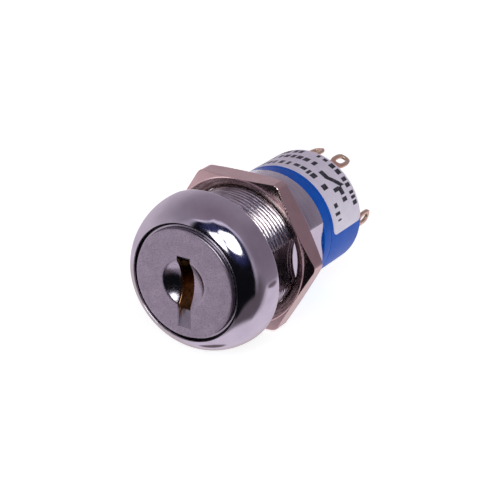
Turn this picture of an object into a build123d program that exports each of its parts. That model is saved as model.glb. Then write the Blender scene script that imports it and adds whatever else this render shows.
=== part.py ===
from build123d import *
import math
import os

# Panel-mount key switch. Millimetres. The axis of the switch runs along Y: the face looks
# towards -Y, the back of the head (panel seat) is the plane y = 0 and +Z is up.

# ---- head and threaded bushing -------------------------------------------------------------
HEAD_R = 11.7            # outer radius of the domed head
DOME_CENTRE_R = 8.0      # radius of the centre of the dome's elliptical section
DOME_HEIGHT = 6.0        # how far the dome stands in front of the panel seat
THREAD_R = 9.5           # 3/4 inch bushing, outside of the thread
THREAD_END = 12.7        # y where the thread stops
BARREL_R = 9.25          # plain rear part of the bushing
BARREL_END = 16.85       # y of the rear end of the bushing
FLAT_X = 8.72            # half distance across the two flats
WELL_R = 8.7             # round well in the head that takes the plug's flange
WELL_FLOOR = -4.7        # y of the floor of that well
BORE_R = 5.25            # plug bore
BORE_END = 12.4          # y where the bore opens into the stop pocket
STOP_POCKET_R = 7.0
STOP_POCKET_END = 14.6
BOSS_POCKET_R = 7.4      # takes the boss of the switch case's cover

# ---- plug and face cap ---------------------------------------------------------------------
PLUG_R = 5.2
PLUG_END = 12.3
FLANGE_R = 8.4
FLANGE_BACK = -4.75
FLANGE_FRONT = -5.4      # front of the flange's rim
CAP_SEAT_R = 7.65        # raised seat the face cap is pressed on
CAP_SEAT_FRONT = -5.8
CAP_R = 8.03
CAP_T = 0.4              # sheet thickness of the face cap
CAP_FRONT = -6.2
CAP_SKIRT_BACK = -5.42
CAP_SKIRT_T = 0.35
DISH_R = 3.45            # round thumb dish around the key slot
DISH_DEPTH = 1.15
KEY_SLOT_X = 1.1         # half width of the slot in the cap
KEY_SLOT_TOP = 4.0
KEY_SLOT_BOTTOM = -6.6
KEYWAY_X = 1.05          # half width of the keyway in the plug
KEYWAY_TOP = 3.0
KEYWAY_BOTTOM = -4.45
KEYWAY_END = 8.0         # y of the keyway's blind end
LEDGE_IN_Y = -5.05       # y reached by the sloped lead-in tabs of the cap
TAB_T = 0.3              # thickness of those tabs

# ---- pin tumblers --------------------------------------------------------------------------
PIN_Y = [-2.7, 0.2, 3.1, 6.0]
PIN_TIP_Z = [1.2, 1.7, 1.35, 1.9]    # tips of the key pins, different for every key cut
PIN_R = 1.2
PIN_BORE_R = 1.25
PIN_SEAT_Z = 1.4         # floor of the pin bores in the plug
KEY_PIN_TOP = 5.03
PIN_TIP_R = 0.5
PIN_TAPER = 1.2          # height of the tapered tip
DRIVER_BOTTOM = 5.22
DRIVER_TOP = 6.4
CHAMBER_TOP = 8.0
SPRING_R = 0.85          # mean radius of a pin spring
SPRING_WIRE_R = 0.1
SPRING_TURNS = 5
COVER_SLOT_X = 1.45      # half width of the channel for the spring cover
COVER_SLOT_TOP = 8.5
COVER_SLOT_FRONT = -4.2
GAP = 0.02               # gap between parts that only touch
SIDE_GAP = 0.05          # play of a part that slides or turns

# ---- parts behind the plug -----------------------------------------------------------------
NECK_R = 3.6
NECK_FLAT_X = 2.9
NECK_END = 14.55
WASHER_R = 5.6
WASHER_LUG_R = 6.8
WASHER_FRONT = 12.5
WASHER_BACK = 13.4
LUG_ANGLE = 40.0         # width of the stop lug in degrees
LUG_AT = 200.0           # where the lug stands with the key slot upright
TURN = 90.0              # turn of the plug between its two stops
STOP_PLAY = 1.0          # degrees left at each stop
STOP_INNER_R = 5.75
GROOVE_R = 2.85
GROOVE_FRONT = 13.5
GROOVE_BACK = 14.2
CLIP_R = 4.6
CLIP_OPENING = 80.0      # degrees
TAIL_X = 0.6             # half thickness of the drive tail
TAIL_Z = 2.2             # half width of the drive tail
TAIL_FRONT = 12.45
TAIL_BACK = 20.0

# ---- panel nut -----------------------------------------------------------------------------
NUT_FRONT = 6.97
NUT_T = 3.2
NUT_AF = 22.5
NUT_BORE_R = 9.56
NUT_DISH_R = 11.1
NUT_DISH_DEPTH = 0.9
NUT_CORNER_CUT = 0.55    # axial depth of the corner chamfer

# ---- switch case ---------------------------------------------------------------------------
CASE_R = 9.0
CASE_SPLIT = 18.75       # y of the line between cover and case
CASE_END = 27.5
CASE_CAVITY_R = 7.9
COVER_BOSS_R = 7.35
COVER_BOSS_FRONT = 14.7
COVER_BORE_R = 2.95
BASE_POCKET_R = 8.3
BASE_R = 8.25
BASE_FRONT = 24.95
BASE_BACK = 26.7
SEAL_BACK = 27.3
LABEL_T = 0.1
LABEL_FRONT = 19.45
LABEL_BACK = 27.2
LABEL_FROM = -170.0      # ends of the wrapped label, degrees from +Z towards +X
LABEL_TO = 90.0
LABEL_CORNER = 0.8

# ---- rotor and contacts --------------------------------------------------------------------
HUB_R = 2.9
HUB_FRONT = 16.9
ROTOR_R = 7.3
ROTOR_FRONT = 19.0
ROTOR_BACK = 23.7
ROTOR_SLOT_END = 20.2
TRACK_INNER_R = 5.2      # curved recess that carries a bridge contact
TRACK_OUTER_R = 7.1
TRACK_FLOOR = 23.2
BRIDGE_FRONT = 23.5
BRIDGE_BACK = 23.9
BRIDGE_SPAN = 104.0      # degrees
BRIDGE_AT = [-20.0, 160.0]
CONTACT_SPRING_R = 0.6
CONTACT_SPRING_TURNS = 4
SPRING_POCKET_R = 0.85
SPRING_POCKET_FLOOR = 21.6
DETENT_AT = [0.0, 180.0]
NOTCH_COUNT = 4
NOTCH_R = 0.5
NOTCH_AT_R = 7.25
NOTCH_BACK = 22.0
LEAF_INNER_R = 7.45
LEAF_OUTER_R = 7.65
LEAF_SPAN = 50.0
LEAF_FRONT = 19.3
LEAF_BACK = 21.8
BUMP_R = 0.45

# ---- solder terminals ----------------------------------------------------------------------
TERMINAL_AT = [-12.0, 24.0, 104.0, 168.0, 204.0, 284.0]
TERMINAL_R = 7.3         # distance of the blade's middle from the axis
TERMINAL_T = 0.5
NECK_W = 1.75
EYE_W = 2.4
EYE_L = 3.6
EYE_Y = 31.5             # middle of the solder eye
HOLE_W = 1.0
HOLE_L = 2.1
FOOT_INNER_R = 5.4
FOOT_FRONT = 24.4
FOOT_BACK = 24.9
TIP_AT_R = 6.2
TIP_R = 0.6

OVER = 1.0               # how far cutting shapes run past the face they cut


def rod(radius, y_from, y_to, x=0.0, z=0.0):
    """Cylinder along Y."""
    body = Cylinder(radius, y_to - y_from, align=(Align.CENTER, Align.CENTER, Align.MIN))
    return Pos(x, y_from, z) * Rot(-90, 0, 0) * body


def block(x_from, x_to, y_from, y_to, z_from, z_to):
    """Box between two corners."""
    box = Box(x_to - x_from, y_to - y_from, z_to - z_from)
    return Pos((x_from + x_to) / 2, (y_from + y_to) / 2, (z_from + z_to) / 2) * box


def turned(points):
    """Solid of revolution about Y from (radius, y) points."""
    return revolve(make_face(Polyline(*points, close=True)), axis=Axis.Y)


def about_y(angle, shape):
    """Turn a shape about the axis, angle counted from +Z towards +X."""
    return shape.rotate(Axis.Y, angle)


def sector(r_in, r_out, y_from, y_to, start, end):
    """Part of a ring about Y between two angles counted from +Z towards +X."""
    steps = max(2, math.ceil((end - start) / 40.0))
    reach = r_out * 1.6
    rim = [(math.sin(math.radians(a)) * reach, math.cos(math.radians(a)) * reach)
           for a in [start + (end - start) * i / steps for i in range(steps + 1)]]
    wedge = make_face(Polyline((0.0, 0.0), *rim, close=True))
    prism = Pos(0, y_from, 0) * Rot(90, 0, 0) * extrude(wedge, y_from - y_to)
    ring = rod(r_out, y_from, y_to)
    if r_in > 0:
        ring -= rod(r_in, y_from - OVER, y_to + OVER)
    return ring & prism


def side_prism(points, half_width):
    """Prism along X from (y, z) points."""
    face = make_face(Plane.YZ * Polyline(*points, close=True))
    return extrude(face, half_width, dir=(1, 0, 0), both=True)


def coil(mean_r, wire_r, length, turns):
    """Round-wire spring standing on z = 0, ends inside its length."""
    pitch = (length - 2 * wire_r) / turns
    path = Helix(pitch, pitch * turns, mean_r)
    section = Plane(origin=path @ 0, z_dir=path % 0) * Circle(wire_r)
    return Pos(0, 0, wire_r) * sweep(section, path=path, is_frenet=True)


def head_solid():
    dome_r = HEAD_R - DOME_CENTRE_R
    lip_y = -DOME_HEIGHT * math.sqrt(1 - ((WELL_R - DOME_CENTRE_R) / dome_r) ** 2)
    lip_angle = -math.degrees(math.atan2(-lip_y / DOME_HEIGHT, (WELL_R - DOME_CENTRE_R) / dome_r))
    arc = EllipticalCenterArc((DOME_CENTRE_R, 0), dome_r, DOME_HEIGHT, start_angle=lip_angle,
                              arc_size=-lip_angle)
    rest = Polyline(arc @ 1, (BORE_R, 0), (BORE_R, WELL_FLOOR), (WELL_R, WELL_FLOOR), arc @ 0)
    return revolve(make_face([arc, rest]), axis=Axis.Y)


def barrel_solid():
    return turned([(BORE_R, -OVER), (THREAD_R, -OVER), (THREAD_R, THREAD_END),
                   (BARREL_R, THREAD_END), (BARREL_R, BARREL_END), (BOSS_POCKET_R, BARREL_END),
                   (BOSS_POCKET_R, STOP_POCKET_END), (STOP_POCKET_R, STOP_POCKET_END),
                   (STOP_POCKET_R, BORE_END), (BORE_R, BORE_END)])


def stop_sector():
    """Fixed stop in the rear pocket; what it leaves free is the lug's swing."""
    start = LUG_AT + TURN + LUG_ANGLE / 2 + STOP_PLAY
    end = LUG_AT + 360.0 - LUG_ANGLE / 2 - STOP_PLAY
    return sector(STOP_INNER_R, STOP_POCKET_R + 0.1, BORE_END - 0.1, STOP_POCKET_END, start, end)


def lock_housing():
    barrel = barrel_solid()
    for side in (-1, 1):
        far = FLAT_X + 3.0
        edges = sorted((side * FLAT_X, side * far))
        barrel -= block(edges[0], edges[1], 0.0, BARREL_END + OVER, -HEAD_R, HEAD_R)
    housing = head_solid() + barrel + stop_sector()
    for y in PIN_Y:
        housing -= Pos(0, y, BORE_R - OVER) * Cylinder(
            PIN_BORE_R, CHAMBER_TOP - BORE_R + OVER, align=(Align.CENTER, Align.CENTER, Align.MIN))
    housing -= block(-COVER_SLOT_X, COVER_SLOT_X, COVER_SLOT_FRONT, BARREL_END + OVER,
                     CHAMBER_TOP, COVER_SLOT_TOP)
    return housing


def spring_cover():
    return block(-COVER_SLOT_X + SIDE_GAP, COVER_SLOT_X - SIDE_GAP, COVER_SLOT_FRONT + SIDE_GAP,
                 BARREL_END - 0.25, CHAMBER_TOP + GAP, COVER_SLOT_TOP - GAP)


def dish_ball(extra):
    ball_r = (DISH_R ** 2 + DISH_DEPTH ** 2) / (2 * DISH_DEPTH)
    return Pos(0, CAP_FRONT + DISH_DEPTH - ball_r, 0) * Sphere(ball_r + extra)


def lead_in(z_slot, z_keyway, thickness):
    """Side view of one sloped tab: from the slot's end in the face down to the keyway."""
    front = CAP_FRONT + CAP_T
    return [(front - 0.1, z_slot), (front - 0.1, z_keyway), (LEDGE_IN_Y, z_keyway),
            (LEDGE_IN_Y + thickness, z_keyway), (front + thickness, z_slot)]


def face_cap():
    cap = rod(CAP_R, CAP_FRONT, CAP_FRONT + CAP_T)
    skirt = rod(CAP_R, CAP_FRONT, CAP_SKIRT_BACK) - rod(CAP_R - CAP_SKIRT_T, CAP_FRONT - OVER, 0)
    bowl = dish_ball(CAP_T) & rod(DISH_R + CAP_T, CAP_FRONT, 0)
    cap = cap + skirt + bowl - dish_ball(0)
    cap -= block(-KEY_SLOT_X, KEY_SLOT_X, CAP_FRONT - OVER, 0, KEY_SLOT_BOTTOM, KEY_SLOT_TOP)
    for z_slot, z_keyway in ((KEY_SLOT_TOP, KEYWAY_TOP), (KEY_SLOT_BOTTOM, KEYWAY_BOTTOM)):
        overlap = math.copysign(0.15, z_slot)
        tab = [(CAP_FRONT + 0.1, z_slot + overlap), (CAP_FRONT + 0.1, z_slot),
               (LEDGE_IN_Y, z_keyway), (LEDGE_IN_Y + TAB_T, z_keyway),
               (CAP_FRONT + CAP_T + TAB_T, z_slot + overlap)]
        cap += side_prism(tab, KEY_SLOT_X + 0.1)
    return cap


def plug_blank():
    return turned([(0, CAP_SEAT_FRONT), (CAP_SEAT_R, CAP_SEAT_FRONT), (CAP_SEAT_R, FLANGE_FRONT),
                   (FLANGE_R, FLANGE_FRONT), (FLANGE_R, FLANGE_BACK), (PLUG_R, FLANGE_BACK),
                   (PLUG_R, PLUG_END), (NECK_R, PLUG_END), (NECK_R, GROOVE_FRONT),
                   (GROOVE_R, GROOVE_FRONT), (GROOVE_R, GROOVE_BACK), (NECK_R, GROOVE_BACK),
                   (NECK_R, NECK_END), (0, NECK_END)])


def neck_flat(side):
    edges = sorted((side * NECK_FLAT_X, side * (NECK_R + OVER)))
    return block(edges[0], edges[1], PLUG_END, NECK_END + OVER, -PLUG_R, PLUG_R)


def pin_bore(y):
    return Pos(0, y, PIN_SEAT_Z) * Cylinder(PIN_BORE_R, PLUG_R + OVER - PIN_SEAT_Z,
                                            align=(Align.CENTER, Align.CENTER, Align.MIN))


def key_plug():
    plug = plug_blank() - neck_flat(-1) - neck_flat(1) - dish_ball(CAP_T + GAP)
    plug -= block(-KEYWAY_X, KEYWAY_X, CAP_FRONT - OVER, KEYWAY_END, KEYWAY_BOTTOM, KEYWAY_TOP)
    for z_slot, z_keyway in ((KEY_SLOT_TOP, KEYWAY_TOP), (KEY_SLOT_BOTTOM, KEYWAY_BOTTOM)):
        reach = math.copysign(0.2, z_slot)
        room = [(CAP_SEAT_FRONT - OVER, z_slot + reach), (CAP_SEAT_FRONT - OVER, z_keyway - reach),
                (LEDGE_IN_Y + TAB_T + GAP, z_keyway - reach),
                (LEDGE_IN_Y + TAB_T + GAP, z_keyway), (CAP_FRONT + CAP_T + TAB_T + GAP, z_slot + reach)]
        plug -= side_prism(room, KEY_SLOT_X + 0.15)
    for y in PIN_Y:
        plug -= pin_bore(y)
    plug -= block(-TAIL_X - GAP, TAIL_X + GAP, TAIL_FRONT - GAP, NECK_END + OVER,
                  -TAIL_Z - GAP, TAIL_Z + GAP)
    return plug


def key_pin(index):
    tip = PIN_TIP_Z[index]
    body = revolve(make_face(Polyline((0, tip), (PIN_TIP_R, tip), (PIN_R, tip + PIN_TAPER),
                                      (PIN_R, KEY_PIN_TOP), (0, KEY_PIN_TOP), close=True)), axis=Axis.Y)
    return Pos(0, PIN_Y[index], 0) * Rot(90, 0, 0) * body


def driver_pin(index):
    body = Cylinder(PIN_R, DRIVER_TOP - DRIVER_BOTTOM, align=(Align.CENTER, Align.CENTER, Align.MIN))
    return Pos(0, PIN_Y[index], DRIVER_BOTTOM) * body


def pin_spring(index):
    length = CHAMBER_TOP - DRIVER_TOP - 2 * GAP
    return Pos(0, PIN_Y[index], DRIVER_TOP + GAP) * coil(SPRING_R, SPRING_WIRE_R, length, SPRING_TURNS)


def neck_shape(gap, y_from, y_to):
    """Round neck with two flats, grown by a gap."""
    width = NECK_FLAT_X + gap
    return rod(NECK_R + gap, y_from, y_to) & block(-width, width, y_from, y_to, -PLUG_R, PLUG_R)


def stop_washer():
    lug_from = LUG_AT - LUG_ANGLE / 2
    washer = rod(WASHER_R, WASHER_FRONT, WASHER_BACK)
    washer += sector(WASHER_R - OVER, WASHER_LUG_R, WASHER_FRONT, WASHER_BACK,
                     lug_from, lug_from + LUG_ANGLE)
    return washer - neck_shape(GAP, WASHER_FRONT - OVER, WASHER_BACK + OVER)


def plug_clip():
    half = CLIP_OPENING / 2
    return sector(GROOVE_R + GAP, CLIP_R, GROOVE_FRONT + SIDE_GAP, GROOVE_BACK - SIDE_GAP,
                  half, 360.0 - half)


def drive_tail():
    return block(-TAIL_X, TAIL_X, TAIL_FRONT, TAIL_BACK, -TAIL_Z, TAIL_Z)


def hex_nut():
    back = NUT_FRONT + NUT_T
    corner_r = NUT_AF / 2 / math.cos(math.radians(30))
    hexagon = RegularPolygon(corner_r, 6)
    nut = Pos(0, NUT_FRONT, 0) * Rot(90, 0, 0) * extrude(hexagon, -NUT_T)
    edge_r = NUT_AF / 2 + 0.05
    nut &= turned([(0, NUT_FRONT), (edge_r, NUT_FRONT), (corner_r + GAP, NUT_FRONT + NUT_CORNER_CUT),
                   (corner_r + GAP, back - NUT_CORNER_CUT), (edge_r, back), (0, back)])
    nut -= rod(NUT_BORE_R, NUT_FRONT - OVER, back + OVER)
    slope = (NUT_DISH_R - NUT_BORE_R) / NUT_DISH_DEPTH
    nut -= turned([(0, NUT_FRONT - OVER), (NUT_DISH_R + slope * OVER, NUT_FRONT - OVER),
                   (NUT_BORE_R, NUT_FRONT + NUT_DISH_DEPTH), (0, NUT_FRONT + NUT_DISH_DEPTH)])
    return nut


def case_cover():
    cover = rod(CASE_R, BARREL_END + GAP, CASE_SPLIT) + rod(COVER_BOSS_R, COVER_BOSS_FRONT, CASE_SPLIT)
    return cover - rod(COVER_BORE_R, COVER_BOSS_FRONT - OVER, CASE_SPLIT + OVER)


def switch_case():
    case = rod(CASE_R, CASE_SPLIT + GAP, CASE_END) - rod(CASE_CAVITY_R, CASE_SPLIT - OVER, CASE_END)
    return case - rod(BASE_POCKET_R, BASE_FRONT - SIDE_GAP, CASE_END + OVER)


def rating_label():
    label = sector(CASE_R, CASE_R + LABEL_T, LABEL_FRONT, LABEL_BACK, LABEL_FROM, LABEL_TO)
    corners = [e for e in label.edges() if abs(e.length - LABEL_T) < 0.01]
    return fillet(corners, LABEL_CORNER)


def rotor():
    body = rod(HUB_R, HUB_FRONT, ROTOR_FRONT + OVER) + rod(ROTOR_R, ROTOR_FRONT, ROTOR_BACK)
    body -= block(-TAIL_X - SIDE_GAP, TAIL_X + SIDE_GAP, HUB_FRONT - OVER, ROTOR_SLOT_END,
                  -TAIL_Z - SIDE_GAP, TAIL_Z + SIDE_GAP)
    for k in range(NOTCH_COUNT):
        notch = rod(NOTCH_R, ROTOR_FRONT - OVER, NOTCH_BACK, 0, NOTCH_AT_R)
        body -= about_y(360.0 / NOTCH_COUNT * k, notch)
    for angle in BRIDGE_AT:
        half = BRIDGE_SPAN / 2 + 1.0
        body -= sector(TRACK_INNER_R - 0.1, TRACK_OUTER_R + 0.05, TRACK_FLOOR, ROTOR_BACK + OVER,
                       angle - half, angle + half)
        middle_r = (TRACK_INNER_R + TRACK_OUTER_R) / 2
        body -= about_y(angle, rod(SPRING_POCKET_R, SPRING_POCKET_FLOOR, TRACK_FLOOR + OVER, 0, middle_r))
    return body


def bridge_contact(angle):
    half = BRIDGE_SPAN / 2
    return sector(TRACK_INNER_R, TRACK_OUTER_R - SIDE_GAP, BRIDGE_FRONT, BRIDGE_BACK,
                  angle - half, angle + half)


def contact_spring(angle):
    length = BRIDGE_FRONT - SPRING_POCKET_FLOOR - 2 * GAP
    spring = Rot(-90, 0, 0) * coil(CONTACT_SPRING_R, SPRING_WIRE_R, length, CONTACT_SPRING_TURNS)
    middle_r = (TRACK_INNER_R + TRACK_OUTER_R) / 2
    return about_y(angle, Pos(0, SPRING_POCKET_FLOOR + GAP, middle_r) * spring)


def detent_spring(angle):
    leaf = sector(LEAF_INNER_R, LEAF_OUTER_R, LEAF_FRONT, LEAF_BACK, -LEAF_SPAN / 2, LEAF_SPAN / 2)
    leaf += rod(BUMP_R, LEAF_FRONT, LEAF_BACK, 0, NOTCH_AT_R)
    return about_y(angle, leaf)


def blade_slots(y_from, y_to):
    """Holes for the terminals in the base and the seal."""
    half_t = TERMINAL_T / 2 + GAP
    half_w = NECK_W / 2 + GAP
    hole = block(-half_w, half_w, y_from, y_to, TERMINAL_R - half_t, TERMINAL_R + half_t)
    return [about_y(angle, hole) for angle in TERMINAL_AT]


def rear_disc(y_from, y_to):
    disc = rod(BASE_R, y_from, y_to)
    for hole in blade_slots(y_from - OVER, y_to + OVER):
        disc -= hole
    return disc


def terminal(angle):
    z_in, z_out = TERMINAL_R - TERMINAL_T / 2, TERMINAL_R + TERMINAL_T / 2
    half = NECK_W / 2
    part = block(-half, half, FOOT_FRONT, EYE_Y, z_in, z_out)
    part += block(-half, half, FOOT_FRONT, FOOT_BACK, FOOT_INNER_R, z_out)
    part += rod(TIP_R, BRIDGE_BACK + GAP, FOOT_FRONT + 0.1, 0, TIP_AT_R)
    eye = Pos(0, EYE_Y, z_in) * extrude(Ellipse(EYE_W / 2, EYE_L / 2), TERMINAL_T)
    hole = Pos(0, EYE_Y, z_in - OVER) * extrude(Ellipse(HOLE_W / 2, HOLE_L / 2), TERMINAL_T + 2 * OVER)
    return about_y(angle, part + eye - hole)


def all_parts():
    parts = {
        "lock_housing": lock_housing(), "hex_nut": hex_nut(), "face_cap": face_cap(),
        "key_plug": key_plug(), "stop_washer": stop_washer(), "plug_clip": plug_clip(),
        "drive_tail": drive_tail(), "spring_cover": spring_cover(), "case_cover": case_cover(),
        "switch_case": switch_case(), "rating_label": rating_label(), "rotor": rotor(),
        "terminal_base": rear_disc(BASE_FRONT, BASE_BACK),
        "potting_seal": rear_disc(BASE_BACK + GAP, SEAL_BACK),
    }
    for i in range(len(PIN_Y)):
        parts[f"key_pin_{i + 1}"] = key_pin(i)
        parts[f"driver_pin_{i + 1}"] = driver_pin(i)
        parts[f"pin_spring_{i + 1}"] = pin_spring(i)
    for i, angle in enumerate(BRIDGE_AT):
        parts[f"bridge_contact_{i + 1}"] = bridge_contact(angle)
        parts[f"contact_spring_{i + 1}"] = contact_spring(angle)
    for i, angle in enumerate(DETENT_AT):
        parts[f"detent_spring_{i + 1}"] = detent_spring(angle)
    for i, angle in enumerate(TERMINAL_AT):
        parts[f"terminal_{i + 1}"] = terminal(angle)
    return parts


os.makedirs("parts", exist_ok=True)
for name, shape in all_parts().items():
    export_step(shape, f"parts/{name}.step")
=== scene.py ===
import math
import random

import bmesh
import bpy
import numpy as np
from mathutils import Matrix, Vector


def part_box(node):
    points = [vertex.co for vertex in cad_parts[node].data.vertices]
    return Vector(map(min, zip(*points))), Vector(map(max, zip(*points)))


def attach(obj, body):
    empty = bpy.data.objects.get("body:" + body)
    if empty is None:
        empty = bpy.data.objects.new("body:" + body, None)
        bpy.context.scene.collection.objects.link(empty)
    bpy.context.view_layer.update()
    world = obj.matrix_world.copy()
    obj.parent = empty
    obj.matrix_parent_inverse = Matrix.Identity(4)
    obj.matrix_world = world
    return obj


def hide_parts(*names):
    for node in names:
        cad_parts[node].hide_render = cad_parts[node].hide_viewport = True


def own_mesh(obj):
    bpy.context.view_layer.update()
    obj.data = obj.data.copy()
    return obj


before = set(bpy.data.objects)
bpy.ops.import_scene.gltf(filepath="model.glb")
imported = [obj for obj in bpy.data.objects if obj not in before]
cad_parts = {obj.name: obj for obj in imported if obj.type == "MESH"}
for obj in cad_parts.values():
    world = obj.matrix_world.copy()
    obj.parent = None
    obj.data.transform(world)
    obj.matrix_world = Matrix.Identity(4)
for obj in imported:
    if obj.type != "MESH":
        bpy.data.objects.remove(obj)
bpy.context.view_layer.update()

# Lengths in this script are millimetres and are turned into metres by MM. The axis of the
# switch is Y, its face looks towards -Y, +Z is up and angles round the axis run from +Z to +X.
MM = 0.001
TAU = 2 * math.pi


def node_box(node):
    """Lowest and highest corner of a CAD node in millimetres."""
    low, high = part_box(node)
    return low / MM, high / MM


HEAD_LOW, HEAD_HIGH = node_box("lock_housing")
NUT_LOW, NUT_HIGH = node_box("hex_nut")
CAP_LOW, CAP_HIGH = node_box("face_cap")
COVER_LOW, COVER_HIGH = node_box("case_cover")
CASE_LOW, CASE_HIGH = node_box("switch_case")
_, LABEL_HIGH = node_box("rating_label")
SEAL_LOW, SEAL_HIGH = node_box("potting_seal")

# ---- sizes that the boxes do not give ------------------------------------------------------
DOME_CENTRE_R = 8.0
DOME_HEIGHT = 6.0
DOME_STEPS = 56
DOME_RISE = 0.06
RIM_ROUND = 0.22
WELL_R = 8.7
WELL_FLOOR = -4.7
BORE_R = 5.25
BORE_END = 12.4
STOP_POCKET_R = 7.0
STOP_POCKET_END = 14.6
BOSS_POCKET_R = 7.4
CHAMBER_LOW, CHAMBER_TOP = BORE_R - 1.5, 8.0
CUT_GAP = 0.05
THREAD_R = 9.5
THREAD_START = 0.7
THREAD_END = 12.7
THREAD_PITCH = 0.7
THREAD_DEPTH = 0.16
THREAD_ROWS = 13  # rows of points in one pitch
BARREL_R = 9.25
FLAT_X = 8.72
NUT_BORE_R = 9.56
NUT_DISH_R = 11.1
NUT_DISH_DEPTH = 0.9
NUT_CHAMFER = 0.55
NUT_THREAD_DEPTH = 0.32
NUT_THREAD_ROWS = 36
DISH_R = 3.45
DISH_DEPTH = 1.15
RECESS_LIP = -5.3
TAIL_HOLE_R = 2.95
BOSS_R = 7.35
CASE_SHELF_R, CASE_SHELF_Y = 7.9, 24.9
CASE_BORE_R = 8.3
TERMINAL_R = 7.3
TERMINAL_T = 0.5
TAG_ANGLES = (-12.0, 24.0, 104.0, 168.0, 204.0, 284.0)
NECK_W = 1.75
EYE_W, EYE_L, EYE_Y = 2.4, 3.6, 31.5
HOLE_W, HOLE_L = 1.1, 2.2
FOOT_FRONT = 24.4
FOOT_INNER_R = 5.4
RING_STEPS = 432
NUT_STEPS = 720
CASE_STEPS = 288


# ============================================================================================
# meshes
# ============================================================================================
def smooth_by_angle(mesh, degrees):
    """Smooth shading, with edges sharper than the angle kept sharp."""
    mesh.polygons.foreach_set("use_smooth", [True] * len(mesh.polygons))
    mesh.set_sharp_from_angle(angle=math.radians(degrees))
    mesh.update()


def new_piece(name, points, faces, sharp=35):
    """Mesh object from millimetre points."""
    mesh = bpy.data.meshes.new(name)
    mesh.from_pydata([tuple(c * MM for c in p) for p in points], [], faces)
    mesh.validate()
    obj = bpy.data.objects.new(name, mesh)
    bpy.context.scene.collection.objects.link(obj)
    smooth_by_angle(mesh, sharp)
    return obj


def finish_piece(obj, body, slot, material, *replaced):
    """Material and body of a piece, and the CAD nodes that it stands for, which are hidden; slot
    is not used.
    """
    obj.data.materials.clear()
    obj.data.materials.append(material)
    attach(obj, body)
    if replaced:
        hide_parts(*replaced)
    return obj


def ring(name, section, steps=RING_STEPS, sharp=35):
    """Closed ring round the axis. section(angle) gives the (r, y) points of one slice,
    anticlockwise seen with r to the right and y up, the same number at every angle."""
    points, faces = [], []
    slices = [section(TAU * i / steps) for i in range(steps)]
    count = len(slices[0])
    for i, part in enumerate(slices):
        s, c = math.sin(TAU * i / steps), math.cos(TAU * i / steps)
        points += [(r * s, y, r * c) for r, y in part]
    for i in range(steps):
        a, b = i * count, (i + 1) % steps * count
        faces += [(a + k, a + (k + 1) % count, b + (k + 1) % count, b + k) for k in range(count)]
    return new_piece(name, points, faces, sharp)


def turned(name, section, sharp=35):
    """Solid of revolution whose section starts and ends on the axis."""
    steps = RING_STEPS
    points = [(0, section[0][1], 0), (0, section[-1][1], 0)]
    inner = section[1:-1]
    count = len(inner)
    for i in range(steps):
        s, c = math.sin(TAU * i / steps), math.cos(TAU * i / steps)
        points += [(r * s, y, r * c) for r, y in inner]
    faces = []
    for i in range(steps):
        a, b = 2 + i * count, 2 + (i + 1) % steps * count
        faces.append((0, a, b))
        faces.append((1, b + count - 1, a + count - 1))
        faces += [(a + k, a + k + 1, b + k + 1, b + k) for k in range(count - 1)]
    return new_piece(name, points, faces, sharp)


def rounded(corners):
    """Points of a closed path with each corner (r, y, radius) rounded."""
    steps = 5
    path = []
    count = len(corners)
    for i, (r, y, radius) in enumerate(corners):
        here = Vector((r, y))
        if radius <= 0:
            path.append((r, y))
            continue
        before = Vector(corners[i - 1][:2]) - here
        after = Vector(corners[(i + 1) % count][:2]) - here
        start = here + before.normalized() * min(radius, before.length * 0.49)
        end = here + after.normalized() * min(radius, after.length * 0.49)
        for k in range(steps + 1):
            t = k / steps
            p = start * (1 - t) ** 2 + here * 2 * t * (1 - t) + end * t * t
            path.append((p.x, p.y))
    return path


def box_mesh(name, low, high):
    """Box along the axes, used for cuts and joins."""
    (x0, y0, z0), (x1, y1, z1) = low, high
    points = [(x, y, z) for x in (x0, x1) for y in (y0, y1) for z in (z0, z1)]
    faces = [(0, 1, 3, 2), (4, 6, 7, 5), (0, 4, 5, 1), (2, 3, 7, 6), (0, 2, 6, 4), (1, 5, 7, 3)]
    return new_piece(name, points, faces)


def prism_x(name, side, half):
    """Prism along X from (y, z) points given anticlockwise seen from +X."""
    n = len(side)
    points = [(-half, y, z) for y, z in side] + [(half, y, z) for y, z in side]
    faces = [tuple(range(n))[::-1], tuple(range(n, 2 * n))]
    faces += [(k, (k + 1) % n, n + (k + 1) % n, n + k) for k in range(n)]
    return new_piece(name, points, faces)


def upright_rod(name, radius, y, z_low, z_high):
    """Round rod along Z."""
    steps = 48
    ring_points = [(radius * math.sin(TAU * i / steps), y + radius * math.cos(TAU * i / steps))
                   for i in range(steps)]
    points = [(x, py, z_low) for x, py in ring_points] + [(x, py, z_high) for x, py in ring_points]
    faces = [tuple(range(steps)), tuple(range(steps, 2 * steps))[::-1]]
    faces += [(k, steps + k, steps + (k + 1) % steps, (k + 1) % steps) for k in range(steps)]
    return new_piece(name, points, faces)


def outward(obj):
    """Makes all faces point outwards."""
    mesh = bmesh.new()
    mesh.from_mesh(obj.data)
    bmesh.ops.recalc_face_normals(mesh, faces=mesh.faces)
    mesh.to_mesh(obj.data)
    mesh.free()
    return obj


def face_places(obj):
    """Of every face: distance from the axis, y and x in millimetres and the normal's x."""
    polygons = obj.data.polygons
    centres, normals = np.empty(len(polygons) * 3), np.empty(len(polygons) * 3)
    polygons.foreach_get("center", centres)
    polygons.foreach_get("normal", normals)
    x, y, z = centres.reshape(-1, 3).T / MM
    return np.hypot(x, z), y, x, normals[0::3]


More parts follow.
